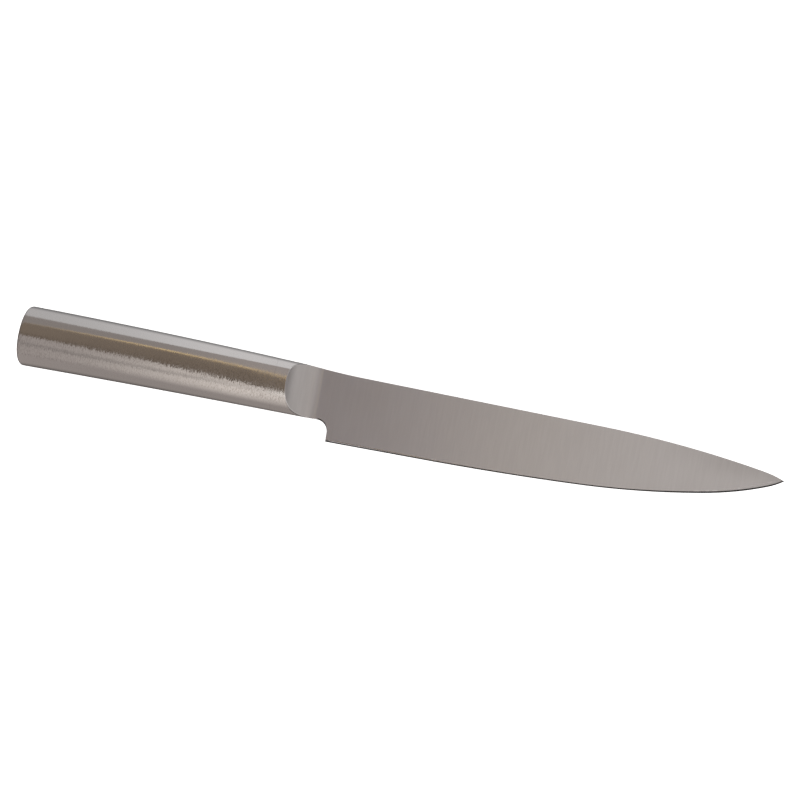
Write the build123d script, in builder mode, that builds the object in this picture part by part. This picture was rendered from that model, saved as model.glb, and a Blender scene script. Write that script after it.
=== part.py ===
from build123d import *
import math
import os

# An all steel carving knife. It lies on its side on a table: +X runs from the butt of the handle to the tip
# of the blade, +Y towards the spine and +Z up through the thickness. The origin is on the table, under the
# middle of the knife. Lengths are in millimetres. Heights are measured from the handle's centre line.

# Blade
blade_length = 200.0
blade_height = 30.5
spine_rise = 9.85
spine_thickness = 2.4
spine_thickness_at_tip = 1.7
edge_thickness = 0.5
bevel_angle = 17.0
choil_radius = 5.0
choil_rise = 11.78
heel_lean = 0.1

# Handle, from the butt face to the heel of the blade
handle_length = 135.8
butt_height = 26.2
butt_thickness = 21.5
heel_crown = 10.42
heel_belly = 11.95
heel_thickness = 16.4
wall = 1.2
rim_radius = 0.6

# The handle's long faces are made of strips of about this length, each straight between two sections
strip_length = 13.5

# Bolster: the solid stretch between the hollow handle and the blade, with a scoop ground into each side
bolster_length = 26.0
scoop_radius = 18.0
scoop_to_heel = 5.7
scoop_turn = 75.0
step_rise = 11.83
step_length = 37.0
belly_line_drop = 0.37

# Spigots, which hold the hollow handle on the bolster and on the butt cap
spigot_gap = 0.1
bolster_spigot = 8.0
cap_thickness = 2.0
cap_spigot = 5.0
cap_spigot_wall = 1.4
spigot_chamfer = 0.8

# Welds and the packed balance fill
weld_width = 1.0
seam_width = 0.8
fill_gap = 0.1

# Room that cuts and helper solids run past what they cut
overrun = 12.0
plate_overlap = 4.0
plate_margin = 0.6
bolster_overlap = 1.0

# Side outline of the blade, as shares of its length from the heel and of its height from the edge line
edge_shares = [(0.0, 0.0), (0.2237, 0.0151), (0.5595, 0.0889), (0.8345, 0.3151), (0.9657, 0.5702),
               (1.0, 0.694)]
spine_shares = [(0.055, 0.997), (0.585, 0.9708), (0.952, 0.7787), (1.0, 0.694)]

# The curve that leads from the handle's crown to the spine, as shares of its length and of its drop
step_shares = [(0.0, 0.0), (0.40, 0.507), (0.675, 0.957), (1.0, 1.0)]

# How the handle changes from the butt to the heel. The first two are powers: the narrowing comes late and
# the belly's rise comes early. The level shares say how high the widest place lies between belly and crown,
# and the full shares how square the section is, where 0.55 is an ellipse. The last is how many flats round
# off the rim of the cap.
late_share = 2.15
early_share = 2.3
butt_level_share = 0.50
heel_level_share = 0.69
butt_full_share = 0.61
crown_full_share = 0.74
belly_full_share = 0.46
rim_flats_share = 3

heel_depth = blade_height - spine_rise
overall_length = handle_length + blade_length
room = overall_length
butt_half_height = butt_height / 2
butt_half_thickness = butt_thickness / 2
axis_height = (heel_depth - butt_half_height) / 2

# The knife's middle plane, with local x from the butt and local y up from the handle's centre line
middle = Plane(origin=(-overall_length / 2, axis_height, butt_half_thickness))

shoulder = handle_length - bolster_length
tube_front = shoulder - weld_width
tube_back = cap_thickness + weld_width
scoop_start = handle_length - scoop_to_heel
cap_spigot_front = tube_back + cap_spigot
bolster_spigot_back = tube_front - bolster_spigot
spigot_inset = wall + spigot_gap


def half_section(along, inset):
    """The right half of an egg shaped section across the handle, moved in by inset."""
    share = along / handle_length
    late = share ** late_share
    early = 1 - (1 - share) ** early_share
    crown = butt_half_height + (heel_crown - butt_half_height) * late
    belly = butt_half_height + (heel_belly - butt_half_height) * early
    half = (butt_thickness + (heel_thickness - butt_thickness) * late) / 2 - inset
    level = butt_level_share + (heel_level_share - butt_level_share) * late
    crown_full = butt_full_share + (crown_full_share - butt_full_share) * late
    belly_full = butt_full_share + (belly_full_share - butt_full_share) * late
    top = crown - inset
    bottom = inset - belly
    widest = (crown + belly) * level - belly
    top_reach = widest + (top - widest) * crown_full
    bottom_reach = widest + (bottom - widest) * belly_full
    place = middle.from_local_coords((along, 0, 0))
    with BuildSketch(Plane(origin=place, x_dir=(0, 1, 0), z_dir=(1, 0, 0))) as section:
        with BuildLine():
            Bezier((top, 0), (top, half * crown_full), (top_reach, half), (widest, half))
            Bezier((widest, half), (bottom_reach, half), (bottom, half * belly_full), (bottom, 0))
            Line((bottom, 0), (top, 0))
        make_face()
    return section.sketch


def stretch(start, end, inset):
    """Evenly spaced places from start to end along the handle, all with the same inset."""
    strips = math.ceil((end - start) / strip_length)
    return [(start + (end - start) * i / strips, inset) for i in range(strips + 1)]


def half_form(steps):
    """The right half of a solid with the handle's outline, through places along it with their insets."""
    with BuildPart() as form:
        loft([half_section(along, inset) for along, inset in steps], ruled=True)
    return form.part


def handle_form(steps):
    """Both halves of that solid."""
    with BuildPart() as form:
        add(half_form(steps))
        mirror(about=middle)
    return form.part


# The ground side of the blade leans in from spine to edge and from heel to tip, and runs back into the scoop
lean_down = (spine_thickness - edge_thickness) / 2 / blade_height
lean_along = (spine_thickness - spine_thickness_at_tip) / 2 / blade_length
side_half = spine_thickness / 2 - spine_rise * lean_down + scoop_to_heel * lean_along
side_normal = Vector(lean_along, -lean_down, 1).normalized()
side_down = Vector(0, -1, -lean_down).normalized()
side_origin = middle.from_local_coords((scoop_start, 0, side_half))
grinding_plane = Plane(origin=side_origin, x_dir=side_normal.cross(side_down), z_dir=side_down)

with BuildPart() as side_grind:
    with BuildSketch(grinding_plane):
        with BuildLine():
            flat = Line((blade_length + overrun, 0), (0, 0))
            scoop = CenterArc((0, scoop_radius), scoop_radius, -90, -scoop_turn)
            clear = scoop_radius + butt_thickness
            Polyline(scoop @ 1, ((scoop @ 1).X, clear), (blade_length + overrun, clear), flat @ 0)
        make_face()
    extrude(amount=room / 2, both=True)

# The plate of the blade, bevelled to its edge. The bevel is the slope of a tapered extrusion of everything
# above the edge line, and the spine and heel are cut from it later.
edge_points = [(handle_length + blade_length * a, blade_height * b - heel_depth) for a, b in edge_shares]
plate_back = scoop_start - plate_overlap
plate_half = spine_thickness / 2 + plate_margin

with BuildPart() as plate:
    with BuildSketch(middle):
        with BuildLine():
            back = Line((plate_back, -heel_depth), edge_points[0])
            run = Line(edge_points[0], edge_points[1])
            for point in edge_points[2:]:
                run = TangentArc(run @ 1, point, tangent=run % 1)
            past = Line(run @ 1, run @ 1 + (run % 1) * overrun)
            far = (past @ 1).X
            high = spine_rise + overrun
            Polyline(past @ 1, (far, high), (plate_back, high), back @ 0)
        make_face()
    extrude(amount=plate_half, taper=90 - bevel_angle)
    mirror(about=middle)

# Blade, bolster and spigot in one forging
spine_points = [(handle_length + blade_length * a, blade_height * b - heel_depth) for a, b in spine_shares]
step_end = spine_points[0]
step_drop = step_rise - step_end[1]
step_points = [(step_end[0] + step_length * (a - 1), step_rise - step_drop * b) for a, b in step_shares]
choil_corner = handle_length - heel_lean - choil_radius

with BuildPart() as blade:
    add(handle_form(stretch(shoulder, scoop_start + bolster_overlap, 0)))
    add(plate.part)
    with BuildSketch(middle):
        with BuildLine():
            start = (shoulder - overrun, step_rise)
            top = Line(start, step_points[0])
            step = Bezier(*step_points)
            run = Line(step @ 1, spine_points[1])
            for point in spine_points[2:]:
                run = TangentArc(run @ 1, point, tangent=run % 1)
            past = Line(run @ 1, run @ 1 + (run % 1) * overrun)
            under = -heel_depth - overrun
            heel = Polyline(past @ 1, ((past @ 1).X, under), (handle_length, under),
                            (handle_length - heel_lean, -choil_rise - choil_radius))
            choil = CenterArc((choil_corner, -choil_rise - choil_radius), choil_radius, 0, 90)
            belly_back = (shoulder, -choil_rise - belly_line_drop)
            belly = Line(choil @ 1, belly_back)
            Polyline(belly_back, (start[0], belly_back[1]), start)
        make_face()
    extrude(amount=butt_thickness, both=True, mode=Mode.INTERSECT)
    add(side_grind.part, mode=Mode.SUBTRACT)
    add(side_grind.part.mirror(middle), mode=Mode.SUBTRACT)
    add(handle_form([(bolster_spigot_back, spigot_inset + spigot_chamfer),
                     (bolster_spigot_back + spigot_chamfer, spigot_inset), (shoulder, spigot_inset)]))

# Two pressed half shells meet along the crown and the belly, with a weld between their edges
with BuildPart() as handle_shell_right:
    add(half_form(stretch(tube_back, tube_front, 0)))
    add(half_form(stretch(tube_back, tube_front, wall)), mode=Mode.SUBTRACT)
    split(bisect_by=middle.offset(seam_width / 2), keep=Keep.TOP)

with BuildPart() as handle_shell_left:
    mirror(handle_shell_right.part, about=middle)

seam_middle = (tube_back + tube_front) / 2
seam_length = tube_front - tube_back

with BuildPart() as crown_seam_weld:
    add(handle_form(stretch(tube_back, tube_front, 0)))
    add(handle_form(stretch(tube_back, tube_front, wall)), mode=Mode.SUBTRACT)
    with Locations(middle.from_local_coords((seam_middle, room / 2, 0))):
        Box(seam_length, room, seam_width, mode=Mode.INTERSECT)

with BuildPart() as belly_seam_weld:
    add(handle_form(stretch(tube_back, tube_front, 0)))
    add(handle_form(stretch(tube_back, tube_front, wall)), mode=Mode.SUBTRACT)
    with Locations(middle.from_local_coords((seam_middle, -room / 2, 0))):
        Box(seam_length, room, seam_width, mode=Mode.INTERSECT)

with BuildPart() as bolster_weld:
    add(handle_form(stretch(tube_front, shoulder, 0)))
    add(handle_form(stretch(tube_front, shoulder, wall)), mode=Mode.SUBTRACT)

# The butt is closed by a flat cap with a rounded rim and a hollow spigot
rim_turns = [math.radians(90 * i / rim_flats_share) for i in range(rim_flats_share + 1)]
rim_steps = [(rim_radius * (1 - math.cos(turn)), rim_radius * (1 - math.sin(turn))) for turn in rim_turns]

with BuildPart() as butt_cap:
    add(handle_form(rim_steps + [(cap_thickness, 0)]))
    add(handle_form([(cap_thickness, spigot_inset), (cap_spigot_front - spigot_chamfer, spigot_inset),
                     (cap_spigot_front, spigot_inset + spigot_chamfer)]))
    hollow = stretch(cap_thickness, cap_spigot_front, spigot_inset + cap_spigot_wall)
    add(handle_form(hollow), mode=Mode.SUBTRACT)

with BuildPart() as butt_weld:
    add(handle_form(stretch(cap_thickness, tube_back, 0)))
    add(handle_form(stretch(cap_thickness, tube_back, wall)), mode=Mode.SUBTRACT)

# The hollow is packed with fine sand, which brings the balance point to the bolster
with BuildPart() as balance_fill:
    add(handle_form(stretch(cap_spigot_front + fill_gap, bolster_spigot_back - fill_gap, wall + fill_gap)))

pieces = {
    "blade": blade,
    "handle_shell_right": handle_shell_right,
    "handle_shell_left": handle_shell_left,
    "crown_seam_weld": crown_seam_weld,
    "belly_seam_weld": belly_seam_weld,
    "bolster_weld": bolster_weld,
    "butt_cap": butt_cap,
    "butt_weld": butt_weld,
    "balance_fill": balance_fill,
}
os.makedirs("parts", exist_ok=True)
for name, piece in pieces.items():
    piece.part.label = name
    export_step(piece.part, f"parts/{name}.step")
    print(name, round(piece.part.volume), "mm3")
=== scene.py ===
# %% [markdown]
# # A carving knife, all of steel
# This notebook dresses a carving knife that was built as solids in another program. The solids are the
# frame: they hold the sizes, and they never move. Here every surface that shows is made again as a smooth
# numpy surface with a real finish, and each new piece stands exactly where the solid it stands for is.
#
# The knife lies on its side. X runs from the butt to the tip, Y from the edge to the spine and Z up through
# the thickness.

# %% Load the frame
import math
import bmesh
import bpy
import numpy as np
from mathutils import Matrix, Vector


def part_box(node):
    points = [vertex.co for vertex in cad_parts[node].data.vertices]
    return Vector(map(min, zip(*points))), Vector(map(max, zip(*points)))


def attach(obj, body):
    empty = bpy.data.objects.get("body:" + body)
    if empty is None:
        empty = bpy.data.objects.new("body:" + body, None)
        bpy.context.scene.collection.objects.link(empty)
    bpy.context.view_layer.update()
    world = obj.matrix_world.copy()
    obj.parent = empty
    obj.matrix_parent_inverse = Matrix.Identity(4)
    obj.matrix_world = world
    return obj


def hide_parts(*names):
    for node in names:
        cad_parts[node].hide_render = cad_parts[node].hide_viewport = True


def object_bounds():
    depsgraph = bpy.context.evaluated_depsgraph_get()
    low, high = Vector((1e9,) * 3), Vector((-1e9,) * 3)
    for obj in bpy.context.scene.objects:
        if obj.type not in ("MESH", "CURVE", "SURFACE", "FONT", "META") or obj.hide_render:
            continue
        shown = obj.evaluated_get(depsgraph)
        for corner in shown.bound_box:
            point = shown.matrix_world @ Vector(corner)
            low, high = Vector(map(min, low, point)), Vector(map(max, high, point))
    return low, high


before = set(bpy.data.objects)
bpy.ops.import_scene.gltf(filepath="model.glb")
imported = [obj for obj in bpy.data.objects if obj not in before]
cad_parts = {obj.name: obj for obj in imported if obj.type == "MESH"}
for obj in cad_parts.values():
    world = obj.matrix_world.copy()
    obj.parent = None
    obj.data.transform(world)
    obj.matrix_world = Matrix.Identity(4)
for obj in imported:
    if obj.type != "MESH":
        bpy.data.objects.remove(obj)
cad_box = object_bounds()
print("solids:", ", ".join(sorted(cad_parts)))
print("box of the solids in metres:", [[round(c, 5) for c in corner] for corner in cad_box])

# %% [markdown]
# ## Sizes
# All sizes are in millimetres, as a cutler would give them. Places come from the frame: the butt cap gives
# the butt face and the handle's centre line, and the two welds say where the hollow handle starts and ends.
# A point on the knife is then given by how far it is from the butt, how high it is above the centre line,
# and how deep it is out from the middle plane.

# %% Sizes of the knife
MM = 0.001
cap_low, cap_high = [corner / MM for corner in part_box("butt_cap")]
butt_weld_low, butt_weld_high = [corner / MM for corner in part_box("butt_weld")]
bolster_weld_low, bolster_weld_high = [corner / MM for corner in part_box("bolster_weld")]
butt_face = cap_low.x
middle_height = (cap_low.z + cap_high.z) / 2

blade_length = 200.0
blade_height = 30.5
spine_rise = 9.85
spine_half = 1.2
spine_half_at_tip = 0.85
edge_half = 0.25
bevel_angle = math.radians(17.0)
choil_radius = 5.0
choil_rise = 11.78
heel_lean = 0.1
butt_half_height = 13.1
butt_half_thickness = 10.75
heel_crown = 10.42
heel_belly = 11.95
heel_half_thickness = 8.2
wall = 1.2
seam_half = 0.4
rim_radius = 0.6
scoop_radius = 18.0
scoop_to_heel = 5.7
step_rise = 11.83
step_length = 37.0
belly_line_drop = 0.37
spigot_inset = 1.3
cap_spigot_wall = 1.4

handle_length = cad_box[1].x / MM - butt_face - blade_length
heel_depth = blade_height - spine_rise
cap_back = butt_weld_low.x - butt_face
tube_back = butt_weld_high.x - butt_face
tube_front = bolster_weld_low.x - butt_face
shoulder = bolster_weld_high.x - butt_face
scoop_start = handle_length - scoop_to_heel
tip = handle_length + blade_length
centre_height = cap_high.y - butt_half_height
print("handle", round(handle_length, 2), "mm, tube", round(tube_back, 2), "to", round(tube_front, 2), "mm")


def to_frame(along, high, deep):
    """Distances from the butt, above the centre line and out of the middle plane, as points in metres."""
    spots = np.broadcast_arrays(butt_face + along, centre_height + high, middle_height + deep)
    return np.stack(spots, axis=-1) * MM


# %% [markdown]
# ## The handle's section
# The handle is an oval tube that narrows towards the blade and turns from an even oval into an egg with its
# wide side up. A superellipse would be a one line formula for such a section, but its curvature breaks
# where it crosses its axes, and polished steel shows that as a line. So the section is four cubic curves,
# each leaving the crown, belly or side square on, and a fullness says how far each one bulges towards its
# corner.

# %% The section of the handle
late_share = 2.15
early_share = 2.3
butt_level_share = 0.50
heel_level_share = 0.69
butt_full_share = 0.61
crown_full_share = 0.74
belly_full_share = 0.46
halvings = 44


def section(along, inset=0.0):
    """Crown, belly, widest level, half thickness and the two fullnesses of the section at each place.

    Each is its value at the butt, plus its change to the heel times a power of the place's share of the
    handle's length.
    """
    share = np.clip(along / handle_length, 0, 1)
    late = share ** late_share
    early = 1 - (1 - share) ** early_share
    crown = butt_half_height + (heel_crown - butt_half_height) * late
    belly = butt_half_height + (heel_belly - butt_half_height) * early
    level = butt_level_share + (heel_level_share - butt_level_share) * late
    widest = (crown + belly) * level - belly
    half = butt_half_thickness + (heel_half_thickness - butt_half_thickness) * late - inset
    crown_full = butt_full_share + (crown_full_share - butt_full_share) * late
    belly_full = butt_full_share + (belly_full_share - butt_full_share) * late
    return crown - inset, inset - belly, widest, half, crown_full, belly_full


def skin(along, turn, inset=0.0):
    """Height and depth of the skin.

    The turn is 0 at the crown, 1 at the right side, 2 at the belly and 3 at the left side. Each quarter is a
    cubic curve from crown or belly, where the share s is 0, to the widest place, where it is 1.
    """
    top, bottom, widest, half, crown_full, belly_full = section(along, inset)
    turn = np.mod(turn, 4)
    upper = (turn <= 1) | (turn >= 3)
    pole = np.where(upper, top, bottom)
    full = np.where(upper, crown_full, belly_full)
    s = 1 - np.abs(np.mod(turn, 2) - 1)
    high = widest + (pole - widest) * ((1 - s) ** 3 + 3 * (1 - s) ** 2 * s + 3 * full * (1 - s) * s ** 2)
    deep = half * (3 * full * (1 - s) ** 2 * s + 3 * (1 - s) * s ** 2 + s ** 3)
    return high, np.where(turn <= 2, deep, -deep)


def turn_at(along, high):
    """The right side's turn at each height, by halving: the cubic only falls from the pole to the side."""
    top, bottom, widest, _, crown_full, belly_full = section(along)
    upper = high > widest
    full = np.where(upper, crown_full, belly_full)
    reach = np.clip((high - widest) / (np.where(upper, top, bottom) - widest), 0, 1)
    low, up = np.zeros_like(reach), np.ones_like(reach)
    for _ in range(halvings):
        s = (low + up) / 2
        before = (1 - s) ** 3 + 3 * (1 - s) ** 2 * s + 3 * full * (1 - s) * s ** 2 > reach
        low, up = np.where(before, s, low), np.where(before, up, s)
    return np.where(upper, low, 2 - low)


for place in (0.0, handle_length / 2, shoulder):
    print("section at", round(place, 1), "mm:", [round(float(v), 2) for v in section(place)])

# %% [markdown]
# ## From arrays to meshes
# A surface is a grid of points, so its faces are always the same: each four neighbours make a quad. One
# helper numbers those quads, and another puts points and quads into a mesh, with marks a point that the
# finishes read later: how worn the place is, which also sets a painted highlight there, whether it is ground
# like the blade, and how high it lies above the cutting edge. Points that fall together, as at the tip, are
# merged, which closes seams and poles. No corner of polished steel is quite sharp, so each gets a thin row
# on either side: with smooth shading, that reads as a corner just broken by the polishing wheel.

# %% Mesh helpers
merge_distance = 0.0000015
sharp_angle = math.radians(38.0)


def quads(numbers):
    """The four corners of each cell of a grid of point numbers, all turning the same way."""
    a, b = numbers[:-1, :-1], numbers[1:, :-1]
    c, d = numbers[1:, 1:], numbers[:-1, 1:]
    return np.stack([a, b, c, d], axis=-1).reshape(-1, 4)


def shares(count, thin):
    """Even shares from 0 to 1, with a thin one at each end."""
    return np.concatenate([[0.0], np.linspace(thin, 1 - thin, count), [1.0]])


def closed_piece(name, points, faces, stands_for, marks=None, soft_corners=False):
    """A closed piece from points in metres and quads. Marks are named arrays of one number a point."""
    mesh = bpy.data.meshes.new(name)
    mesh.from_pydata(points.reshape(-1, 3), [], faces.tolist())
    for mark, values in (marks or {}).items():
        one_each = values.astype(np.float32).ravel()
        mesh.attributes.new(mark, "FLOAT", "POINT").data.foreach_set("value", one_each)
    tidy = bmesh.new()
    tidy.from_mesh(mesh)
    bmesh.ops.remove_doubles(tidy, verts=tidy.verts, dist=merge_distance)
    bmesh.ops.dissolve_degenerate(tidy, edges=tidy.edges, dist=merge_distance)
    bmesh.ops.recalc_face_normals(tidy, faces=tidy.faces)
    open_edges = sum(not edge.is_manifold for edge in tidy.edges)
    tidy.to_mesh(mesh)
    tidy.free()
    mesh.shade_smooth()
    if not soft_corners:
        mesh.set_sharp_from_angle(angle=sharp_angle)
    piece = bpy.data.objects.new(name, mesh)
    bpy.context.scene.collection.objects.link(piece)
    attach(piece, "root")
    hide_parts(*stands_for)
    print(name, "has", len(mesh.polygons), "faces and", open_edges, "open edges")
    return piece


# %% [markdown]
# ## The hollow handle
# The real handle is two pressed half shells, welded along the crown and the belly, and then to the bolster
# at one end and a cap at the other. Everything is ground flush and brushed, so each piece here is a stretch
# of the one skin function, which leaves no step between them. A piece is a closed solid: the outer skin and
# the same skin moved in by the wall, joined at their rims. Its first and last rows are very thin, so that
# its shading there is the skin's own and carries on smoothly in the next piece.

# %% Half shells and seams
rows_around = 72
columns_along = 60
thin_share = 0.002
seam_rows = 5
ring_columns = 3


def seam_turn(along, inset=0.0):
    """The turn at which the skin is seam_half deep, from the straight start of its cubic, 3 half full s."""
    _, _, _, half, crown_full, belly_full = section(along, inset)
    return seam_half / (3 * half * crown_full), seam_half / (3 * half * belly_full)


def tube_piece(name, along, outside_turn, inside_turn, stands_for):
    """A closed piece of the tube: outer skin one way, inner skin back, and the rims closed between them."""
    high_out, deep_out = skin(along, outside_turn)
    high_in, deep_in = skin(along, inside_turn, wall)
    high, deep = np.stack([high_out, high_in]), np.stack([deep_out, deep_in])
    along = np.broadcast_to(along, high.shape)
    outer, inner = np.arange(high.size).reshape(high.shape)
    rims = [np.stack([outer[i], inner[i]]) for i in (0, -1)]
    if np.ptp(outside_turn[0]) < 4:
        rims += [np.stack([outer[:, i], inner[:, i]]) for i in (0, -1)]
    faces = np.concatenate([quads(grid) for grid in (outer, inner, *rims)])
    return closed_piece(name, to_frame(along, high, deep), faces, stands_for)


tube = tube_back + (tube_front - tube_back) * shares(columns_along, thin_share)[:, None]
sweep = shares(rows_around, thin_share)[None, :]
crown_out, belly_out = seam_turn(tube)
crown_in, belly_in = seam_turn(tube, wall)
handle_pieces = [
    tube_piece("shell_right", tube, crown_out + (2 - belly_out - crown_out) * sweep,
               crown_in + (2 - belly_in - crown_in) * sweep, ["handle_shell_right"]),
    tube_piece("shell_left", tube, 2 + belly_out + (2 - crown_out - belly_out) * sweep,
               2 + belly_in + (2 - crown_in - belly_in) * sweep, ["handle_shell_left"])]
strip = 2 * shares(seam_rows, thin_share)[None, :] - 1
handle_pieces += [
    tube_piece("crown_seam", tube, 4 + crown_out * strip, 4 + crown_in * strip, ["crown_seam_weld"]),
    tube_piece("belly_seam", tube, 2 + belly_out * strip, 2 + belly_in * strip, ["belly_seam_weld"])]

# %% [markdown]
# ## Ring welds
# Where the tube meets the cap and the bolster, a bead of weld metal runs once round and is ground flush.
# Each ring could share the tube's mesh, but a real weld is metal of its own, so it is a piece of its own:
# the same two skins over a short stretch, with a turn that goes all the way round.

# %% Ring welds
all_round = np.linspace(0, 4, 4 * rows_around)[None, :]
for ring_name, start, end, stands_for in (("butt_ring", cap_back, tube_back, "butt_weld"),
                                          ("bolster_ring", tube_front, shoulder, "bolster_weld")):
    ring = start + (end - start) * shares(ring_columns, thin_share)[:, None]
    turns = np.broadcast_to(all_round, (len(ring), all_round.shape[1]))
    handle_pieces.append(tube_piece(ring_name, ring, turns, turns, [stands_for]))

# %% [markdown]
# ## The butt cap
# A flat disc closes the butt, with its rim just rounded over and a hollow spigot inside the tube. Its
# outside is one profile of distance along and inset from the skin, carried around the section: across the
# face, over the rim as a quarter circle, along the skin, down to the spigot, back through it and across the
# inside.

# %% Cap profile
rim_rows = 9
cap_spigot = 5.0
spigot_chamfer = 0.8
corner_break = 0.06
cap_face_rows = 7
cap_spigot_front = tube_back + cap_spigot
hollow_inset = spigot_inset + cap_spigot_wall
quarter = np.linspace(0, math.pi / 2, rim_rows)
face_reach = butt_half_thickness - rim_radius
face_profile = [(0.0, rim_radius + face_reach * share) for share in np.linspace(1, 0, cap_face_rows)[:-1]]
rim_profile = list(zip(rim_radius * (1 - np.cos(quarter)), rim_radius * (1 - np.sin(quarter))))
back_profile = [(cap_back - corner_break, 0.0), (cap_back, 0.0), (cap_back, spigot_inset),
                (cap_spigot_front - spigot_chamfer, spigot_inset),
                (cap_spigot_front, spigot_inset + spigot_chamfer), (cap_spigot_front, hollow_inset)]
inner_profile = [(cap_back, hollow_inset), (cap_back, float(section(cap_back)[3]))]
cap_profile = np.array(face_profile + rim_profile + back_profile + inner_profile)
cap_along, cap_inset = cap_profile[:, :1], cap_profile[:, 1:]
cap_turns = np.broadcast_to(all_round, (len(cap_along), all_round.shape[1]))
cap_high, cap_deep = skin(cap_along, cap_turns, cap_inset)
handle_pieces.append(closed_piece("cap", to_frame(cap_along, cap_high, cap_deep),
                                  quads(np.arange(cap_high.size).reshape(cap_high.shape)), ["butt_cap"]))

# %% [markdown]
# ## The side view of the blade
# A cutler draws the blade from the side first. The spine runs nearly straight and then falls in two arcs to
# the point, the edge does the same from below, and a small quarter circle, the choil, sets the edge off
# from the handle. Each arc leaves the line before it at the same slope, so three numbers fix it: where it
# starts, that slope and where it ends. The curve from the crown down to the spine is one cubic.

# %% Outline of the blade
edge_shares = [(0.0, 0.0), (0.2237, 0.0151), (0.5595, 0.0889), (0.8345, 0.3151), (0.9657, 0.5702),
               (1.0, 0.694)]
spine_shares = [(0.055, 0.997), (0.585, 0.9708), (0.952, 0.7787), (1.0, 0.694)]
step_shares = [(0.0, 0.0), (0.40, 0.507), (0.675, 0.957), (1.0, 1.0)]
step_samples = 400
choil_corner = handle_length - heel_lean - choil_radius


def blade_points(pairs):
    """Points on the blade from shares of its length and height."""
    return np.array([(handle_length + blade_length * a, blade_height * b - heel_depth) for a, b in pairs])


def arc_line(points, along):
    """Height of a straight line through the first two points that runs on through the others in tangent arcs.

    An arc that leaves A along a direction, and ends at B, has its centre on the normal at A, at the distance
    (B - A) squared over twice the part of B - A that lies along the normal.
    """
    direction = (points[1] - points[0]) / np.linalg.norm(points[1] - points[0])
    high = points[0][1] + direction[1] / direction[0] * (along - points[0][0])
    for start, end in zip(points[1:], points[2:]):
        normal = np.array([-direction[1], direction[0]])
        chord = end - start
        radius = chord @ chord / (2 * normal @ chord)
        centre = start + normal * radius
        reach = np.sqrt(np.maximum(radius ** 2 - (along - centre[0]) ** 2, 0))
        high = np.where(along > start[0], centre[1] - np.sign(radius) * reach, high)
        out = (end - centre) / radius
        direction = np.array([-out[1], out[0]])
    return high


edge_points, spine_points = blade_points(edge_shares), blade_points(spine_shares)
step_controls = np.array([(spine_points[0][0] + step_length * (a - 1),
                           step_rise - (step_rise - spine_points[0][1]) * b) for a, b in step_shares])
part = np.linspace(0, 1, step_samples)[:, None]
step_weights = np.concatenate([(1 - part) ** 3, 3 * (1 - part) ** 2 * part, 3 * (1 - part) * part ** 2,
                               part ** 3], axis=1)
step_along, step_high = (step_weights @ step_controls).T


def edge_line(along):
    """Height of the cutting edge."""
    return arc_line(edge_points, np.maximum(along, handle_length))


def top_line(along):
    """Height of the blade's top: the crown of the handle, cut by the step curve, and then the spine."""
    step = np.interp(along, step_along, step_high)
    cut = np.where(along < step_along[-1], step, arc_line(spine_points, along))
    return np.where(along < handle_length, np.minimum(section(along)[0], cut), cut)


def bottom_line(along):
    """Height of the blade's bottom: the belly, the choil's quarter circle, the heel and then the edge."""
    belly_slope = belly_line_drop / (choil_corner - shoulder)
    belly_cut = -choil_rise - belly_slope * (choil_corner - along)
    past_corner = along - choil_corner
    arc = -choil_rise - choil_radius + np.sqrt(np.clip(choil_radius ** 2 - past_corner ** 2, 0, None))
    under = np.where(along < choil_corner, np.maximum(section(along)[1], belly_cut), arc)
    return np.where(along > handle_length - heel_lean / 2, edge_line(along), under)


at_tip = np.array([tip])
print("heights at the tip: edge", edge_line(at_tip).round(3), "spine", top_line(at_tip).round(3))

# %% [markdown]
# ## How deep the ground side lies
# The side of the blade is one plane that leans in towards the edge and towards the tip. At the bolster it
# turns up into the scoop, a grinding wheel's own circle, and where that circle leaves the handle's skin is
# the curved line in front of the grip. Along the edge a narrow bevel at seventeen degrees meets the plane.

# %% Ground surface and bevel
lean_down = (spine_half - edge_half) / blade_height
lean_along = (spine_half - spine_half_at_tip) / blade_length
side_half = spine_half - spine_rise * lean_down + scoop_to_heel * lean_along
edge_probe = 0.05


def ground(along, high):
    """Depth of the ground side: the leaning plane, plus the rise of the scoop's circle before its start."""
    back = np.clip(scoop_start - along, 0, scoop_radius)
    return (side_half + lean_down * high - lean_along * (along - scoop_start)
            + scoop_radius - np.sqrt(scoop_radius ** 2 - back ** 2))


def bevel_slope(along):
    """How fast the bevel deepens with height: its angle's tangent times the cosine of the edge's lean."""
    rise = (edge_line(along + edge_probe) - edge_line(along - edge_probe)) / (2 * edge_probe)
    return math.tan(bevel_angle) * np.cos(np.arctan(rise))


def crease(along, outer):
    """The height between the widest place and outer at which the ground side meets the skin, by halving."""
    _, _, widest, half, _, _ = section(along)
    low, up = widest, outer
    for _ in range(halvings):
        high = (low + up) / 2
        inside = skin(along, turn_at(along, high))[1] > ground(along, high)
        low, up = np.where(inside, high, low), np.where(inside, up, high)
    return np.where(ground(along, widest) < half, low, widest)


near_scoop = np.linspace(shoulder, scoop_start, step_samples)
apex = float(np.interp(0, section(near_scoop)[3] - ground(near_scoop, section(near_scoop)[2]), near_scoop))
print("the scoop starts in the skin", round(apex, 2), "mm from the butt")

# %% [markdown]
# ## The forging
# Blade, bolster and spigot are forged in one piece, so they are one mesh here too. It is built like a
# ship's hull: at each place along the knife there is one frame line, from the middle of the spine round the
# right side to the middle of the edge, always with the same rows. A row that has nothing to do at some
# place, as the handle's skin has none on the blade, shrinks to a point there and is merged away. Places are
# crowded where the outline turns fast: at the start of the scoop, in the choil and near the tip. The
# corners are eased by a fifth to half of a millimetre, most where the polishing wheel reaches them best.

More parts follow.
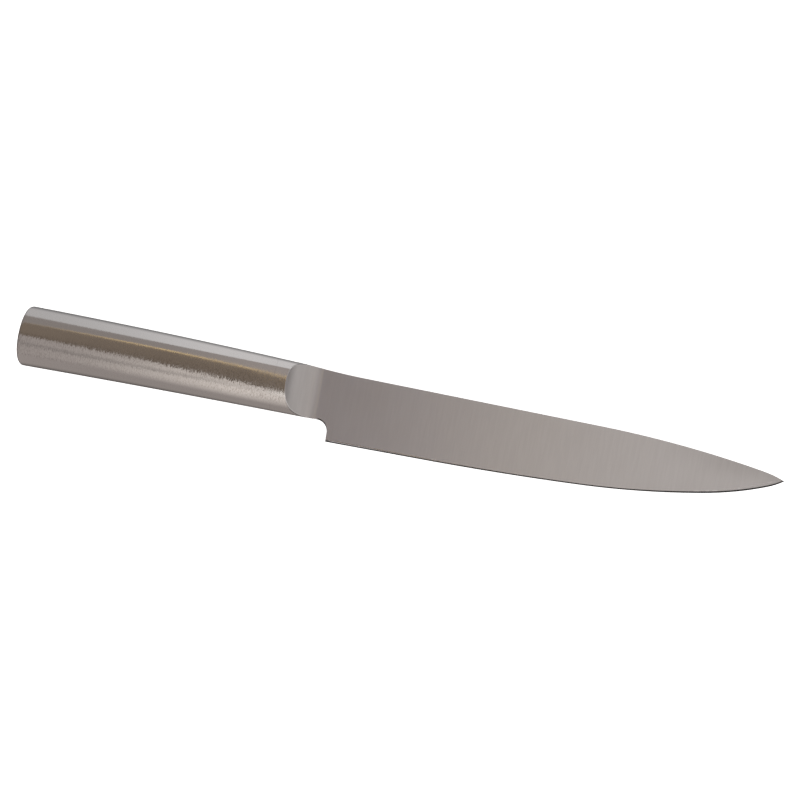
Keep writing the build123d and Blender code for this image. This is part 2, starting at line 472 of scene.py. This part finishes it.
# %% Places along the forging
spigot_length = 8.0
eased_corner = 0.22
honed_edge = 0.55
no_edge = 10.0
choil_ease = 0.35
rubbed_corner = 0.45
places_on_bolster, places_in_scoop, places_in_choil, places_on_blade = 9, 44, 20, 130
tip_crowding = 1.4
skin_rows, side_rows = 26, 26
spread = np.linspace(0, 1, places_in_scoop)
on_skin = np.concatenate([[shoulder, shoulder + corner_break],
                          np.linspace(shoulder, apex, places_on_bolster)[1:-1],
                          [apex - corner_break, apex], apex + (choil_corner - apex) * spread[1:] ** 2])
in_choil = choil_corner + choil_radius * np.sin(np.linspace(0, math.pi / 2, places_in_choil)[1:])
even_blade = np.linspace(0, 1, places_on_blade)
on_blade = handle_length + blade_length * (1 - (1 - even_blade) ** tip_crowding)
places = np.concatenate([on_skin, in_choil, on_blade])[:, None]
print(len(places), "places along the forging")

# %% [markdown]
# ## Frame lines
# Each frame line has six blocks of rows: half of the flat top, the skin down to the ground side, the ground
# side itself, the skin again down to the belly, the bevel, and half of the flat bottom. On the blade both
# blocks of skin are empty, and on the bolster the bevel is. The marks are made here as well, because only
# here is it known which block a row belongs to: a corner is where two blocks meet.

# %% Rows of the frame lines
ground_blocks = (1.0, 0.0, 1.0, 0.0, 1.0, 1.0)


def corner_shares(length, count, first=eased_corner, last=eased_corner):
    """Even shares of a stretch, with a thin one at each end that is as wide as the corner there is eased."""
    first = np.clip(first / np.maximum(length, first), 0, 1 / 3)
    last = np.clip(last / np.maximum(length, last), 0, 2 / 3 - first / 2)
    inner = first + (1 - first - last) * np.linspace(0, 1, count)[None, :]
    return np.concatenate([np.zeros_like(first), inner, np.ones_like(first)], axis=1)


def frame_marks(high, bottom, on_bolster, no_cut):
    """Three marks for each block of rows.

    Wear and sheen is 1 on the rows where two blocks meet: worn corners, which also get a painted highlight.
    Ground side is 1 where the steel is ground like the blade.
    The height above the edge is the row's own less that of the bottom, and large on the bolster.
    """
    worn_and_sheen = [np.zeros(rows.shape) for rows in high]
    for rows in worn_and_sheen[:-1]:
        rows[:, -1] = 1
    for rows in worn_and_sheen[1:]:
        rows[:, 0] = 1
    ground_side = [np.full(rows.shape, kind) for rows, kind in zip(high, ground_blocks)]
    ground_side[2][np.broadcast_to(no_cut, high[2].shape)] = 0
    ground_side[0][on_bolster[:, 0]] = 0
    ground_side[5][on_bolster[:, 0]] = 0
    above_edge = [np.where(on_bolster, no_edge, rows - bottom) for rows in high]
    return worn_and_sheen, ground_side, above_edge


def frame_lines(along):
    """Heights, depths and the three marks of all rows at each place, from the middle of the top downwards."""
    top, bottom = top_line(along), bottom_line(along)
    on_bolster = along < choil_corner
    slope = bevel_slope(along)
    level_ground = ground(along, np.zeros_like(along))
    bevel_top = (level_ground + slope * edge_line(along)) / (slope - lean_down)
    upper = np.where(on_bolster, crease(along, top), top)
    lower = np.where(on_bolster, crease(along, bottom), bottom)
    side_end = np.where(on_bolster, lower, np.clip(bevel_top, bottom, top))
    turns = [turn_at(along, edge) for edge in (top, upper, lower, bottom)]

    def skin_stretch(start, end, still_high, still_deep, corner):
        """Rows on the skin from one turn to another, the first as wide as the corner that it eases.

        Where there is no skin to show, they all fall in one point.
        """
        girth = np.abs(end - start) * section(along)[3]
        high, deep = skin(along, start + (end - start) * corner_shares(girth, skin_rows, first=corner))
        bare = np.logical_not(on_bolster) | (girth < merge_distance / MM)
        return np.where(bare, still_high, high), np.where(bare, still_deep, deep)

    def side_depth(high):
        """The ground side's depth at a height, where the bevel doesn't lie deeper."""
        bevelled = np.where(on_bolster, np.inf, slope * (high - edge_line(along)))
        return np.maximum(np.minimum(ground(along, high), bevelled), 0)

    def end_depth(turn, high):
        """The ground side's depth at top or bottom, or on the bolster the skin's where that is less."""
        plane = side_depth(high)
        return np.where(on_bolster, np.minimum(skin(along, turn)[1], plane), plane)

    no_cut = on_bolster & (upper <= lower)
    top_depth, low_depth = end_depth(turns[0], top), end_depth(turns[3], bottom)
    side_high = upper + (side_end - upper) * corner_shares(upper - side_end, side_rows, last=choil_ease)
    side_deep = np.where(no_cut, section(along)[3], side_depth(side_high))
    skin_high, skin_deep = skin_stretch(turns[0], turns[1], top, top_depth, eased_corner)
    belly_high, belly_deep = skin_stretch(turns[2], turns[3], side_high[:, -1:], side_deep[:, -1:],
                                         rubbed_corner)
    down = corner_shares(side_end - bottom, 2, last=honed_edge)
    bevel_high = belly_high[:, -1:] + (bottom - belly_high[:, -1:]) * down
    bevel_deep = belly_deep[:, -1:] + (low_depth - belly_deep[:, -1:]) * down
    flat = corner_shares(top_depth, 2)
    base = 1 - corner_shares(low_depth, 2)
    high = [np.broadcast_to(top, flat.shape), skin_high, side_high, belly_high, bevel_high,
            np.broadcast_to(bottom, base.shape)]
    deep = [top_depth * flat, skin_deep, side_deep, belly_deep, bevel_deep, low_depth * base]
    blocks = (high, deep, *frame_marks(high, bottom, on_bolster, no_cut))
    return [np.concatenate(rows, axis=1) for rows in blocks]


# %% [markdown]
# ## Forging and spigot in one mesh
# Behind the bolster the forging carries on as a spigot that enters the tube, so that the two parts line up
# before they are welded. Its frame lines are the skin moved in, with the same rows as the first one of the
# bolster, which makes a single grid. The left half is that grid with its depth turned round, and a row of
# quads closes the end.

# %% Forging mesh
weld_width = 1.0
high, deep, *marks = frame_lines(places)
spigot_turns = turn_at(places[:1], high[:1])
back = shoulder - weld_width - spigot_length
spigot_profile = np.array([(back, spigot_inset + spigot_chamfer), (back + spigot_chamfer, spigot_inset),
                           (shoulder - corner_break, spigot_inset), (shoulder, spigot_inset)])
spigot_high, spigot_deep = skin(spigot_profile[:, :1], spigot_turns, spigot_profile[:, 1:])
along = np.concatenate([spigot_profile[:, :1], places])
high, deep = np.concatenate([spigot_high, high]), np.concatenate([spigot_deep, deep])
marks = [np.concatenate([np.zeros_like(spigot_high), rows]) for rows in marks]
mark_names = ("worn_and_sheen", "ground_side", "above_edge")
both_sides = {name: np.stack([rows, rows]) for name, rows in zip(mark_names, marks)}
right = to_frame(along, high, deep)
left = to_frame(along, high, -deep)
numbers = np.arange(high.size).reshape(high.shape)
other = numbers + high.size
stub = quads(np.stack([numbers[0], other[0]]))
hull_faces = np.concatenate([quads(numbers), quads(other), stub])
forging = closed_piece("forging", np.stack([right, left]), hull_faces, ["blade"],
                       soft_corners=True, marks=both_sides)

# %% [markdown]
# ## Building finishes from nodes
# A finish is a small machine of shader nodes. Writing each one out takes many lines, so one helper adds a
# node, sets it and fills its inputs, and a second starts a node group. A group is built once and placed in
# every material that needs its effect, each time with its own values.

# %% Node helpers
def add(tree, kind, inputs=None, **settings):
    """A new node, with settings such as an operation, and each input either linked to an output or set."""
    made = tree.nodes.new("ShaderNode" + kind)
    for name, value in settings.items():
        setattr(made, name, value)
    for key, value in (inputs or {}).items():
        if isinstance(value, bpy.types.NodeSocket):
            tree.links.new(value, made.inputs[key])
        else:
            made.inputs[key].default_value = value
    return made


def calc(tree, operation, *values, clamp=False):
    """The output of a Math node."""
    return add(tree, "Math", dict(enumerate(values)), operation=operation, use_clamp=clamp).outputs[0]


def vector_calc(tree, operation, *values):
    """The output of a Vector Math node. Scale takes its factor as the last value."""
    inputs = dict(enumerate(values))
    if operation == "SCALE":
        inputs = {0: values[0], "Scale": values[1]}
    return add(tree, "VectorMath", inputs, operation=operation).outputs[0]


def ease(tree, value, start, end, low=0.0, high=1.0):
    """Low before start, high after end and a smooth change between them."""
    inputs = {"Value": value, "From Min": start, "From Max": end, "To Min": low, "To Max": high}
    return add(tree, "MapRange", inputs, interpolation_type="SMOOTHSTEP").outputs[0]


def blend(tree, factor, first, second):
    """A colour between two colours. The Mix node keeps its colour inputs at 6 and 7 and gives colour at 2."""
    return add(tree, "Mix", {0: factor, 6: first, 7: second}, data_type="RGBA").outputs[2]


def start_group(name, takes, gives):
    """A new node group with named inputs and outputs, as (tree, its inputs to read, its outputs to fill)."""
    tree = bpy.data.node_groups.new(name, "ShaderNodeTree")
    for label, kind in takes.items():
        tree.interface.new_socket(label, in_out="INPUT", socket_type="NodeSocket" + kind)
    for label, kind in gives.items():
        tree.interface.new_socket(label, in_out="OUTPUT", socket_type="NodeSocket" + kind)
    return tree, tree.nodes.new("NodeGroupInput").outputs, tree.nodes.new("NodeGroupOutput").inputs


def place_group(tree, group, values):
    """The outputs of a group placed in a material with its own values."""
    return add(tree, "Group", values, node_tree=group).outputs


# %% [markdown]
# ## Brushed lines
# An abrasive belt ran round the handle and across the blade, so both carry fine lines that lie square to
# the knife's length. A bump map could press them in, but lines this fine are narrower than a pixel, and
# what the eye sees is how they tilt the reflections. So this group tilts the normal itself: noise that
# changes quickly along the knife and slowly around it leans each line a little forwards or backwards, and a
# little up or down. The lines show most on the flat of the grip's side, where they also gather into dark
# streaks, and polishing has nearly closed them on its rounded parts.

# %% Group for brushed lines
upper_border, lower_border = (0.17, -0.09), (-0.62, -0.44)
polished_share = 0.3
streak_tones = (0.40, 0.68)
polished_streak, flat_streak = 0.08, 0.58
brushed, takes, gives = start_group(
    "brushed_lines",
    {"Place": "Vector", "Lines per metre": "Float", "Run": "Float", "Lean along": "Float",
     "Lean around": "Float"},
    {"Normal": "Vector", "Tone": "Float", "Streak": "Float"})
surface = add(brushed, "NewGeometry").outputs["Normal"]
upward = add(brushed, "SeparateXYZ", {"Vector": surface}).outputs[1]
flat_side = calc(brushed, "MULTIPLY", ease(brushed, upward, *upper_border),
                 ease(brushed, upward, *lower_border))
marked = ease(brushed, flat_side, 0.0, 1.0, polished_share, 1.0)
slow = calc(brushed, "DIVIDE", takes["Lines per metre"], takes["Run"])
squeeze = add(brushed, "CombineXYZ", {"X": takes["Lines per metre"], "Y": slow, "Z": slow}).outputs[0]
squeezed = vector_calc(brushed, "MULTIPLY", takes["Place"], squeeze)
lines = add(brushed, "TexNoise", {"Vector": squeezed, "Scale": 1.0, "Detail": 3.0, "Roughness": 0.6})
centred = vector_calc(brushed, "SUBTRACT", lines.outputs["Color"], (0.5, 0.5, 0.5))
leans = add(brushed, "SeparateXYZ", {"Vector": centred}).outputs
length_way = (1.0, 0.0, 0.0)
round_way = vector_calc(brushed, "CROSS_PRODUCT", length_way, surface)
tilt_along = calc(brushed, "MULTIPLY", leans[0], calc(brushed, "MULTIPLY", takes["Lean along"], marked))
tilt_around = calc(brushed, "MULTIPLY", leans[1], calc(brushed, "MULTIPLY", takes["Lean around"], marked))
forward = add(brushed, "CombineXYZ", {"X": tilt_along}).outputs[0]
sideways = vector_calc(brushed, "SCALE", round_way, tilt_around)
tilted = vector_calc(brushed, "ADD", surface, vector_calc(brushed, "ADD", forward, sideways))
streak = calc(brushed, "MULTIPLY", ease(brushed, lines.outputs["Fac"], *streak_tones),
              ease(brushed, flat_side, 0.0, 1.0, polished_streak, flat_streak))
brushed.links.new(vector_calc(brushed, "NORMALIZE", tilted), gives["Normal"])
brushed.links.new(lines.outputs["Fac"], gives["Tone"])
brushed.links.new(streak, gives["Streak"])
print("brushed_lines has", len(brushed.nodes), "nodes")

# %% [markdown]
# ## Tone patches
# Steel that has been handled and wiped is never even. Soft patches a centimetre or two wide make the metal
# a little rougher or smoother.

# %% Group for tone patches
patches, takes, gives = start_group("tone_patches", {"Place": "Vector", "Size": "Float"}, {"Tone": "Float"})
all_ways = {axis: takes["Size"] for axis in "XYZ"}
patch_size = add(patches, "CombineXYZ", all_ways).outputs[0]
shrunk = vector_calc(patches, "DIVIDE", takes["Place"], patch_size)
wide = add(patches, "TexNoise", {"Vector": shrunk, "Scale": 1.0, "Detail": 4.0, "Roughness": 0.55})
patches.links.new(ease(patches, wide.outputs["Fac"], 0.3, 0.7), gives["Tone"])
print("tone_patches has", len(patches.nodes), "nodes")

# %% [markdown]
# ## Handle steel
# The grip is plain stainless steel, brushed round and then lightly polished, so it still mirrors the room
# in bands along its length. The bands' borders fray where the lines lean. Base colour carries the metal's
# own slight warmth, and it darkens along the streaks, because deep lines hold less light.

# %% Handle steel material
steel_colour = (0.735, 0.715, 0.695, 1.0)
streak_and_shade_colour = (0.460, 0.435, 0.415, 1.0)
grip_lines, grip_run = 1900.0, 2.2
grip_lean_along, grip_lean_around = 0.09, 0.20
patch_width = 0.016
grip_roughness, grip_roughest = 0.10, 0.14


def metal(name):
    """A new material with a metallic shader, as (material, its node tree, its shader, object coordinates)."""
    material = bpy.data.materials.new(name)
    material.use_nodes = True
    tree = material.node_tree
    shader = tree.nodes["Principled BSDF"]
    shader.inputs["Metallic"].default_value = 1.0
    return material, tree, shader, add(tree, "TexCoord").outputs["Object"]


handle_finish, tree, shader, place = metal("handle_steel")
fine = place_group(tree, brushed, {"Place": place, "Lines per metre": grip_lines, "Run": grip_run,
                                   "Lean along": grip_lean_along, "Lean around": grip_lean_around})
soft = place_group(tree, patches, {"Place": place, "Size": patch_width})
tree.links.new(blend(tree, fine["Streak"], steel_colour, streak_and_shade_colour), shader.inputs["Base Color"])
tree.links.new(ease(tree, soft["Tone"], 0.0, 1.0, grip_roughness, grip_roughest), shader.inputs["Roughness"])
tree.links.new(fine["Normal"], shader.inputs["Normal"])
for piece in handle_pieces:
    piece.data.materials.append(handle_finish)
print("handle_steel goes on", len(handle_pieces), "pieces")

# %% [markdown]
# ## Blade steel, where it changes
# The forging has two finishes. Where the grip's form runs out over the bolster it is brushed like the
# handle, and from the scoop to the tip it is ground to an even satin. One material does both: the mark that
# the frame lines left on each point says which finish a place has. The rest changes along the blade, so it
# goes by the distance from the butt: the scoop and the upper side near the tip carry a painted shade that
# makes them a little darker, and near the heel the colour is mixed towards a cool blue grey that fades
# out over the first half of the blade.

# %% Masks along the blade
blade_finish, tree, shader, place = metal("blade_steel")
side = add(tree, "Attribute", attribute_name="ground_side").outputs["Fac"]
corner = add(tree, "Attribute", attribute_name="worn_and_sheen").outputs["Fac"]
above_edge = add(tree, "Attribute", attribute_name="above_edge").outputs["Fac"]
spot = add(tree, "SeparateXYZ", {"Vector": place}).outputs


def lengthwise(start, end, low=0.0, high=1.0):
    """Low before one place and high after another, both in millimetres from the butt."""
    return ease(tree, spot[0], (butt_face + start) * MM, (butt_face + end) * MM, low, high)


def by_side(on_grip, on_ground):
    """One value where the handle's skin runs on and another where the steel is ground."""
    return ease(tree, side, 0.0, 1.0, on_grip, on_ground)


tip_height = centre_height + edge_points[-1][1]
# Masks of the painted shade: the scoop, and the upper side near the tip.
scoop_shade_mask = calc(tree, "MULTIPLY", side, lengthwise(scoop_start - 0.5, scoop_start - 2.2))
upper_side = ease(tree, spot[1], (tip_height - 6) * MM, (tip_height + 5) * MM)
tip_shade_mask = calc(tree, "MULTIPLY", lengthwise(tip - 62, tip - 12), upper_side)
past_scoop = calc(tree, "MULTIPLY", side, lengthwise(scoop_start - 0.7, scoop_start - 0.1, 0.35, 1.0))
past_rim = calc(tree, "MULTIPLY", past_scoop, lengthwise(scoop_start - 4.2, scoop_start - 2.0))
# Near the heel the colour is mixed towards a cool blue grey that fades out along the blade.
near_heel = calc(tree, "MULTIPLY", past_rim, lengthwise(handle_length - 6, handle_length + 95, 0.30, 0.0))
print("from the butt, the scoop ends at", round(scoop_start, 1), "mm and the tip is at", round(tip, 1), "mm")

# %% [markdown]
# ## Blade steel, colour and lines
# A belt sander leaves lines in two sizes, fine ones and a coarser set below them, and both show as faint
# upright streaks in the satin. Corners are where polishing and use rub the satin off first, so the wear
# mark makes them smoother and also paints them nearly white, a painted highlight. The last strip above the
# cutting edge was honed on a stone: it lies at another angle, mirrors the dark under the knife, and that
# dark reflection is painted into its colour as a thin dark line. A real bevel alone would do on a larger
# part, but here it is partly narrower than a pixel, so its colour helps.

# %% Blade steel material
heel_colour = (0.430, 0.465, 0.640, 1.0)
# A painted dark reflection for the honed strip above the edge.
painted_edge_reflection = (0.045, 0.040, 0.038, 1.0)
# A painted highlight colour for the rubbed corners.
rubbed_highlight_colour = (0.960, 0.945, 0.930, 1.0)
blade_lines, blade_run = 3000.0, 30.0
blade_lean_along, blade_lean_around = 0.06, 0.03
coarse_lines, coarse_run = 850.0, 12.0
blade_tones = (0.35, 0.65)
coarse_share, fine_share, scoop_painted_shade, tip_painted_shade = 0.08, 0.05, 0.32, 0.36
satin_roughness, satin_patches, corner_roughness = 0.33, 0.04, 0.14
painted_highlight_range, polished_wear, honed_shares = (0.2, 1.0), (0.3, 1.0), (1.15, 0.65)

fine = place_group(tree, brushed, {"Place": place, "Lines per metre": by_side(grip_lines, blade_lines),
                                   "Run": by_side(grip_run, blade_run),
                                   "Lean along": by_side(grip_lean_along, blade_lean_along),
                                   "Lean around": by_side(grip_lean_around, blade_lean_around)})
coarse = place_group(tree, brushed, {"Place": place, "Lines per metre": coarse_lines, "Run": coarse_run,
                                     "Lean along": 0.0, "Lean around": 0.0})
coarse_streak = calc(tree, "MULTIPLY", ease(tree, coarse["Tone"], *blade_tones), coarse_share)
fine_streak = calc(tree, "MULTIPLY", ease(tree, fine["Tone"], *blade_tones), fine_share)
# Painted shade: the scoop and the upper side near the tip are darkened towards the streak colour, on top of
# the blade's streaks.
painted_shade = calc(tree, "ADD", calc(tree, "MULTIPLY", scoop_shade_mask, scoop_painted_shade),
             calc(tree, "MULTIPLY", tip_shade_mask, tip_painted_shade))
blade_streak_and_painted_shade = calc(tree, "ADD", calc(tree, "ADD", coarse_streak, fine_streak), painted_shade)
streak = by_side(fine["Streak"], blade_streak_and_painted_shade)
steel = blend(tree, near_heel, blend(tree, streak, steel_colour, streak_and_shade_colour), heel_colour)
# Painted highlight: the worn corners are painted nearly white.
steel = blend(tree, ease(tree, corner, *painted_highlight_range), steel, rubbed_highlight_colour)
# Painted reflection: the honed strip above the edge is painted dark, for the dark under the knife that it
# mirrors.
honed_width = lengthwise(tip - 80, tip - 30, 0.62, 0.84)
dark_reflection_mask = ease(tree, calc(tree, "DIVIDE", above_edge, honed_width), *honed_shares)
tree.links.new(blend(tree, dark_reflection_mask, steel, painted_edge_reflection), shader.inputs["Base Color"])

soft = place_group(tree, patches, {"Place": place, "Size": patch_width})
satin = calc(tree, "ADD", by_side(grip_roughness, satin_roughness),
             calc(tree, "MULTIPLY", soft["Tone"], satin_patches))
tree.links.new(ease(tree, corner, *polished_wear, satin, corner_roughness), shader.inputs["Roughness"])
tree.links.new(fine["Normal"], shader.inputs["Normal"])
forging.data.materials.append(blade_finish)
print("blade_steel has", len(tree.nodes), "nodes")

# %% [markdown]
# ## Packed sand
# The balance fill stays the solid that it is, out of sight in the handle. It still gets its own finish: dry
# fine sand, with grains in two sizes and no shine.

# %% Sand material
sand_light, sand_dark = (0.62, 0.52, 0.38, 1), (0.36, 0.28, 0.18, 1)
grains_per_metre, clumps_per_metre = 2600.0, 240.0
grain_strength, grain_height = 0.6, 0.0002
sand_roughness = 0.95
sand_finish, tree, shader, place = metal("packed_sand")
shader.inputs["Metallic"].default_value = 0.0
shader.inputs["Roughness"].default_value = sand_roughness
grains = add(tree, "TexVoronoi", {"Vector": place, "Scale": grains_per_metre}).outputs["Distance"]
clumps = add(tree, "TexNoise", {"Vector": place, "Scale": clumps_per_metre, "Detail": 6.0}).outputs["Fac"]
tree.links.new(blend(tree, grains, sand_light, sand_dark), shader.inputs["Base Color"])
bump = add(tree, "Bump", {"Height": calc(tree, "ADD", grains, clumps), "Strength": grain_strength,
                          "Distance": grain_height})
tree.links.new(bump.outputs[0], shader.inputs["Normal"])
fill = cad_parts["balance_fill"]
fill.data.materials.clear()
fill.data.materials.append(sand_finish)
print("the grains of sand are", round(1 / grains_per_metre / MM, 2), "mm across")

# %% [markdown]
# ## The floor
# Bare steel shows nothing but its surroundings, so the studio matters more than any colour. The knife lies
# on a plain pale floor, lit from above by one large soft lamp. The floor also has a light of its own, like
# a light table, so that it stays white right up to the knife. The steel doesn't see the lamp or the floor,
# because a photographer would keep both out of the reflections with flags and cards.

# %% Floor and lamp
floor_colour, glow_colour = (0.9, 0.9, 0.9, 1), (1, 1, 1, 1)
floor_glow, floor_roughness = 0.8, 0.9
floor_half, lamp_height, lamp_size, lamp_power = 3.0, 1.6, 1.5, 14.0
floor_mesh = bpy.data.meshes.new("floor")
floor_corners = [(-floor_half, -floor_half, 0), (floor_half, -floor_half, 0),
                 (floor_half, floor_half, 0), (-floor_half, floor_half, 0)]
floor_mesh.from_pydata(floor_corners, [], [(0, 1, 2, 3)])
floor = bpy.data.objects.new("floor", floor_mesh)
bpy.context.scene.collection.objects.link(floor)
floor.visible_glossy = False
floor_finish = bpy.data.materials.new("pale_floor")
floor_finish.use_nodes = True
floor_inputs = floor_finish.node_tree.nodes["Principled BSDF"].inputs
for label, value in (("Base Color", floor_colour), ("Roughness", floor_roughness),
                     ("Emission Color", glow_colour), ("Emission Strength", floor_glow)):
    floor_inputs[label].default_value = value
floor_mesh.materials.append(floor_finish)
lamp_data = bpy.data.lights.new("top_lamp", "AREA")
lamp_data.size = lamp_size
lamp_data.energy = lamp_power
lamp = bpy.data.objects.new("top_lamp", lamp_data)
lamp.location = (0, 0, lamp_height)
lamp.visible_glossy = False
lamp.visible_camera = False
bpy.context.scene.collection.objects.link(lamp)
print("one lamp of", lamp_power, "watts hangs", lamp_height, "m above the floor")

# %% [markdown]
# ## The studio around the knife
# The world is what the steel mirrors, and it is worked out from the direction alone. Two angles in degrees
# say where a direction points: swing is how far it leans from straight up towards the spine's side, and run
# is how far it leans towards the tip. Real panels could stand there, but borders given as lines and curves
# in those two angles are easier to bend until the steel shows each one where a photographer would have put
# it.

# %% Directions in the studio
world = bpy.data.worlds.new("studio")
bpy.context.scene.world = world
world.use_nodes = True
sky = world.node_tree
direction = add(sky, "SeparateXYZ", {"Vector": add(sky, "TexCoord").outputs["Generated"]}).outputs
swing = calc(sky, "DEGREES", calc(sky, "ARCTAN2", direction[1], direction[2]))
run = calc(sky, "DEGREES", calc(sky, "ARCSINE", direction[0]))
back = calc(sky, "MULTIPLY", run, -1.0)
aside = calc(sky, "ABSOLUTE", swing)


def curve(value, constant, *more):
    """A polynomial of a value: the constant, plus the value times a polynomial with the other constants."""
    return calc(sky, "MULTIPLY_ADD", value, curve(value, *more), constant) if more else constant


def apart(value, middle):
    """How far a value is from a middle, to either side."""
    return calc(sky, "ABSOLUTE", calc(sky, "SUBTRACT", value, middle))


def dimmed(colour, factor):
    """A colour times a number."""
    return vector_calc(sky, "SCALE", colour, factor)


print("the studio starts with", len(sky.nodes), "nodes for the directions")

# %% [markdown]
# ## Flag and gap of light
# A photographer hangs a dark flag over polished steel to give it a dark band with crisp borders, because
# evenly lit steel looks like grey plastic. This one slants across the handle, and its borders are curves,
# so that the band runs straight along a grip that narrows. A narrow gap of warm light is left along its
# upper side. Its lower part is darker towards the blade, and everything is a little brighter near the butt.

# %% Flag and gap
flag_colour, gap_colour = (0.200, 0.160, 0.128), (1.000, 0.730, 0.365, 1)
flag_top = curve(back, -9.2, 4.19, -0.0993)
flag_bottom = curve(back, -47.0, 3.55, -0.068)
under_flag = calc(sky, "SUBTRACT", swing, flag_bottom)
above_flag = ease(sky, calc(sky, "SUBTRACT", swing, flag_top), -1.5, 1.5)
below_flag = ease(sky, under_flag, 2.0, -2.0)
butt_gain = ease(sky, run, -24.0, -18.0, 1.10, 1.0)
low_shade = calc(sky, "MULTIPLY", butt_gain, ease(sky, run, -14.0, -7.0, 0.84, 0.66))
flag_shade = ease(sky, under_flag, 3.0, 10.0, low_shade, butt_gain)
flag = dimmed(flag_colour, flag_shade)
gap_light = calc(sky, "MULTIPLY", ease(sky, apart(swing, flag_top), 2.4, 0.6), ease(sky, run, -24.0, -14.0))
print("with flag and gap it has", len(sky.nodes), "nodes")

# %% [markdown]
# ## Wall, ceiling and soft box
# On the spine's side stands a bright wall panel, which gives the light band under the crown. Between wall
# and flag the steel sees a grey ceiling that is lighter over the blade. On the edge's side a big soft box
# opens from the flag's lower side down to the horizon. It grows brighter towards the blade, and a slit
# between its panels leaves a slightly darker line.

# %% Upper and lower half
wall_colour, ceiling_colour, tip_colour = (0.610, 0.600, 0.610), (0.290, 0.262, 0.250), (0.640, 0.610, 0.606)
box_dark_run, box_rise_length, box_rise_power = -25.0, 22.5, 1.5
low_colour, box_colour = (0.345, 0.310, 0.298, 1), (1.050, 0.970, 0.915, 1)

wall_foot = curve(back, 50.4, 0.64)
wall_light = ease(sky, calc(sky, "SUBTRACT", swing, wall_foot), -2.5, 2.5)
wall = dimmed(wall_colour, ease(sky, run, -24.0, -8.0, 0.88, 1.2))
ceiling = blend(sky, ease(sky, run, -3.0, 22.0),
                dimmed(ceiling_colour, ease(sky, run, -18.0, -5.0, 1.0, 1.3)),
                dimmed(tip_colour, ease(sky, run, 18.0, 30.0, 1.0, 0.84)))
upper_half = blend(sky, wall_light, ceiling, wall)

box_end = calc(sky, "MAXIMUM", curve(back, -109.0, 2.1), -90.0)
box_fade = ease(sky, swing, box_end, -48.0)
box_rise = calc(sky, "MULTIPLY_ADD", run, 1 / box_rise_length, -box_dark_run / box_rise_length, clamp=True)
box_gain = calc(sky, "MULTIPLY", calc(sky, "POWER", box_rise, box_rise_power),
                ease(sky, run, -8.0, -3.0, 1.0, 0.58))
box_light = calc(sky, "MULTIPLY", box_fade, box_gain)
slit_depth = calc(sky, "MAXIMUM", ease(sky, run, -24.0, -17.0, 0.82, 0.70),
                  ease(sky, run, -10.0, -4.0, 0.70, 0.92))
slit_swing = curve(run, -44.5, -1.0)
slit = ease(sky, apart(swing, slit_swing), 1.5, 8.0, slit_depth, 1.0)
lower_half = dimmed(blend(sky, box_light, low_colour, box_colour), calc(sky, "MULTIPLY", slit, butt_gain))
print("with wall, ceiling and soft box it has", len(sky.nodes), "nodes")

# %% [markdown]
# ## Dark sides, a card and the whole studio
# Beside the blade, past the butt and below the knife the studio is dark, so that outlines and the spine's
# narrow back stay crisp against the white floor. One small bright card makes the rubbed corner of the scoop
# flash. The camera itself sees a plain pale backdrop.

# %% The whole studio
card_run, card_swing = 2.5, -39.0
side_colour, card_colour = (0.095, 0.088, 0.083, 1), (2.600, 2.550, 2.500, 1)
backdrop_colour = (0.95, 0.95, 0.95, 1)

behind = ease(sky, aside, 110.0, 160.0, 1.0, 0.32)
past_butt = calc(sky, "ADD", ease(sky, run, -27.0, -38.0, 1.0, 0.15), ease(sky, run, -42.0, -52.0, 0.0, 0.95))
beside_blade = calc(sky, "MULTIPLY", ease(sky, run, -1.0, 3.0), ease(sky, aside, 58.0, 68.0))
card = calc(sky, "MULTIPLY", ease(sky, apart(run, card_run), 4.5, 3.0),
            ease(sky, apart(swing, card_swing), 8.0, 6.0))
seen = blend(sky, above_flag, flag, upper_half)
seen = blend(sky, gap_light, seen, gap_colour)
seen = blend(sky, below_flag, seen, lower_half)
seen = dimmed(seen, calc(sky, "MULTIPLY", behind, past_butt))
seen = blend(sky, beside_blade, seen, side_colour)
seen = blend(sky, card, seen, card_colour)
camera_ray = add(sky, "LightPath").outputs["Is Camera Ray"]
sky.links.new(blend(sky, camera_ray, seen, backdrop_colour), sky.nodes["Background"].inputs["Color"])
print("the whole studio has", len(sky.nodes), "nodes")

# %% [markdown]
# ## The camera
# The photograph looks straight down on the knife from a little less than forty centimetres, with the knife
# turned eleven degrees in the picture. So the camera hangs over the middle and is turned the other way.

# %% Camera
camera_turn = math.radians(11.0)
sensor_width, lens_length = 36.0, 39.715
camera_place = (-0.00345, 0.00721, 0.39575)
camera_data = bpy.data.cameras.new("camera")
camera = bpy.data.objects.new("camera", camera_data)
bpy.context.scene.collection.objects.link(camera)
camera_data.sensor_width = sensor_width
camera_data.lens = lens_length
camera.location = camera_place
camera.rotation_euler = (0, 0, camera_turn)
bpy.context.scene.camera = camera
bpy.context.scene.view_settings.view_transform = "Standard"
print("the camera sees", round(sensor_width / lens_length * camera_place[2], 3), "m across at the floor")
